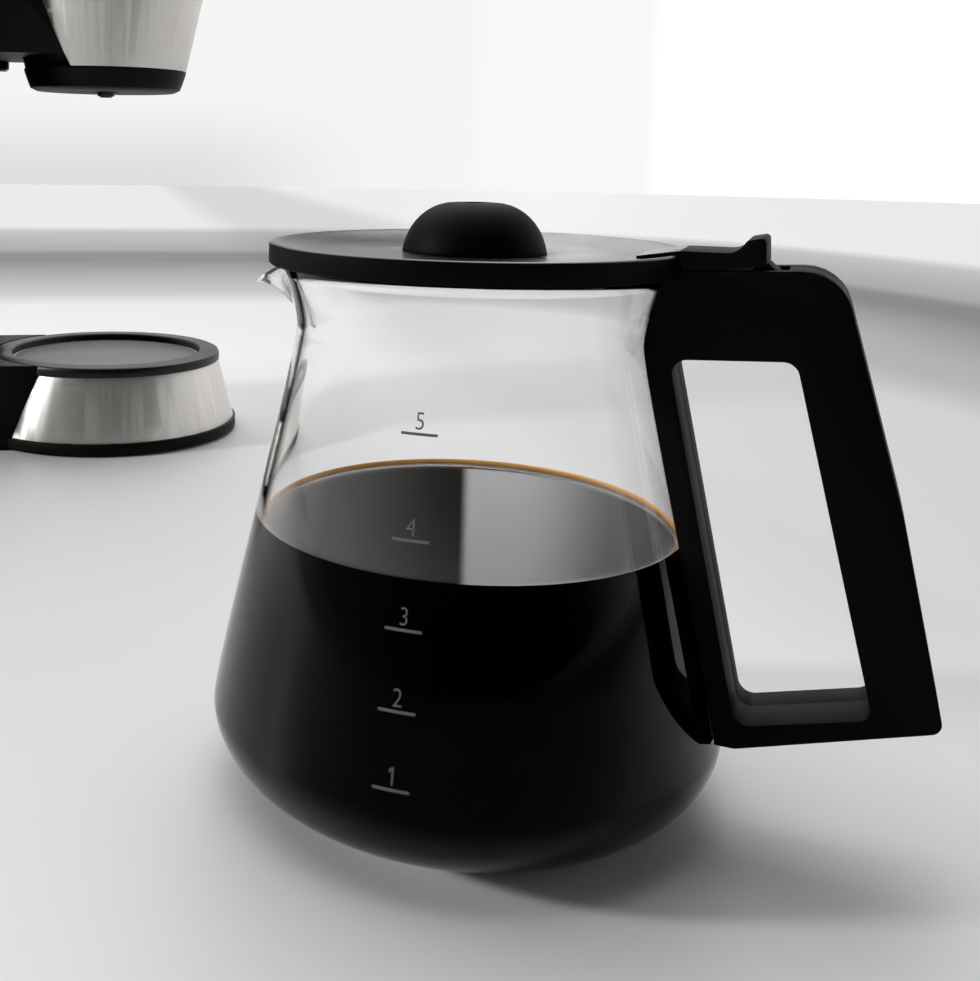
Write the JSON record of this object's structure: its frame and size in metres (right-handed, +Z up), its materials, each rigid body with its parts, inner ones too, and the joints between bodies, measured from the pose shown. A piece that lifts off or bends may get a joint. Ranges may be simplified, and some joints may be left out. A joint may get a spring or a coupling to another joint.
{
  "type": "drip coffee maker",
  "caption": "Drip coffee maker with steel filter cone, swing-out filter holder, rear water tank and a glass jug with hinged lid, standing in front.",
  "frame": {"origin": "middle of the whole footprint, machine and jug together, on the counter", "axes": "+Z up; +X from the tower through the filter axis to the machine's front; -Y towards the jug that stands on the counter"},
  "size_m": [0.3846, 0.6228, 0.3256],
  "materials": {
    "black_plastic": "satin black moulding",
    "dark_plastic": "black inner moulding",
    "rubber": "black rubber",
    "silicone": "milky silicone",
    "brushed_steel": "brushed stainless sheet",
    "zinc_steel": "zinc-plated steel",
    "spring_steel": "spring steel",
    "coated_plate": "non-stick coated steel",
    "aluminium": "extruded aluminium",
    "ceramic": "ceramic-filled plastic",
    "clear_plastic": "clear plastic",
    "lamp_red": "red lens",
    "glass": "clear borosilicate glass",
    "coffee": "coffee",
    "ink": "printed ink"
  },
  "bodies": {
    "machine": {"base_plate": "black_plastic", "rubber_feet": "rubber", "base_screws": "zinc_steel", "base_band": "brushed_steel", "plate_ring": "black_plastic", "plate_seal": "silicone", "hot_plate": "coated_plate", "heater": "aluminium", "heater_clip": "zinc_steel", "thermostat": "ceramic", "thermal_fuse": "ceramic", "tower_casing": "black_plastic", "foot_housing": "black_plastic", "rear_cover": "black_plastic", "cover_screws": "zinc_steel", "water_tank": "clear_plastic", "tank_strainer": "dark_plastic", "level_window": "clear_plastic", "check_valve": "silicone", "inlet_hose": "silicone", "riser_hose": "silicone", "riser_tube": "clear_plastic", "hose_clips": "spring_steel", "switch_frame": "black_plastic", "cord_gland": "rubber", "terminal_block": "ceramic", "head_shell": "black_plastic", "head_cover": "black_plastic", "head_screws": "zinc_steel", "spray_head": "dark_plastic", "tank_lid_pins": "zinc_steel", "swing_bracket": "black_plastic", "swing_pin": "zinc_steel"},
    "jug": {"glass_jug": "glass", "coffee": "coffee", "cup_marks": "ink", "handle_shell": "black_plastic", "handle_cover": "black_plastic", "handle_screws": "zinc_steel", "bond_pads": "silicone", "lid_pin": "zinc_steel"},
    "jug_lid": {"jug_lid": "black_plastic", "lid_skirt": "black_plastic", "lid_dome": "black_plastic"},
    "filter_holder": {"holder_shell": "black_plastic", "cone_sleeve": "brushed_steel", "funnel": "dark_plastic", "valve_spring": "spring_steel"},
    "drip_valve": {"drip_valve": "dark_plastic", "valve_seal": "silicone"},
    "tank_lid": {"tank_lid": "black_plastic"},
    "rocker": {"switch_rocker": "dark_plastic", "pilot_lamp": "lamp_red"}
  },
  "joints": [
    {"name": "jug_lift", "type": "slide", "parent": "machine", "child": "jug", "axis": [0, 0, 1], "range_m": [0, 0.334]},
    {"name": "jug_lid_hinge", "type": "hinge", "parent": "jug", "child": "jug_lid", "pos_m": [0.14803, -0.27689, 0.15378], "axis": [0.5519, 0.8339, 0], "range_deg": [0, 70]},
    {"name": "filter_holder_swing", "type": "hinge", "parent": "machine", "child": "filter_holder", "pos_m": [-0.09535, 0.26837, 0.24], "axis": [0, 0, 1], "range_deg": [0, 85]},
    {"name": "drip_valve_lift", "type": "slide", "parent": "filter_holder", "child": "drip_valve", "axis": [0, 0, 1], "range_m": [0, 0.0035], "stiffness_N_per_m": 150, "springref_m": -0.003, "deforming": ["valve_spring"]},
    {"name": "tank_lid_hinge", "type": "hinge", "parent": "machine", "child": "tank_lid", "pos_m": [-0.18485, 0.22637, 0.324], "axis": [0, -1, 0], "range_deg": [0, 85]},
    {"name": "switch_tilt", "type": "hinge", "parent": "machine", "child": "rocker", "pos_m": [-0.1446, 0.16687, 0.062], "axis": [1, 0, 0], "range_deg": [0, 16]}
  ]
}
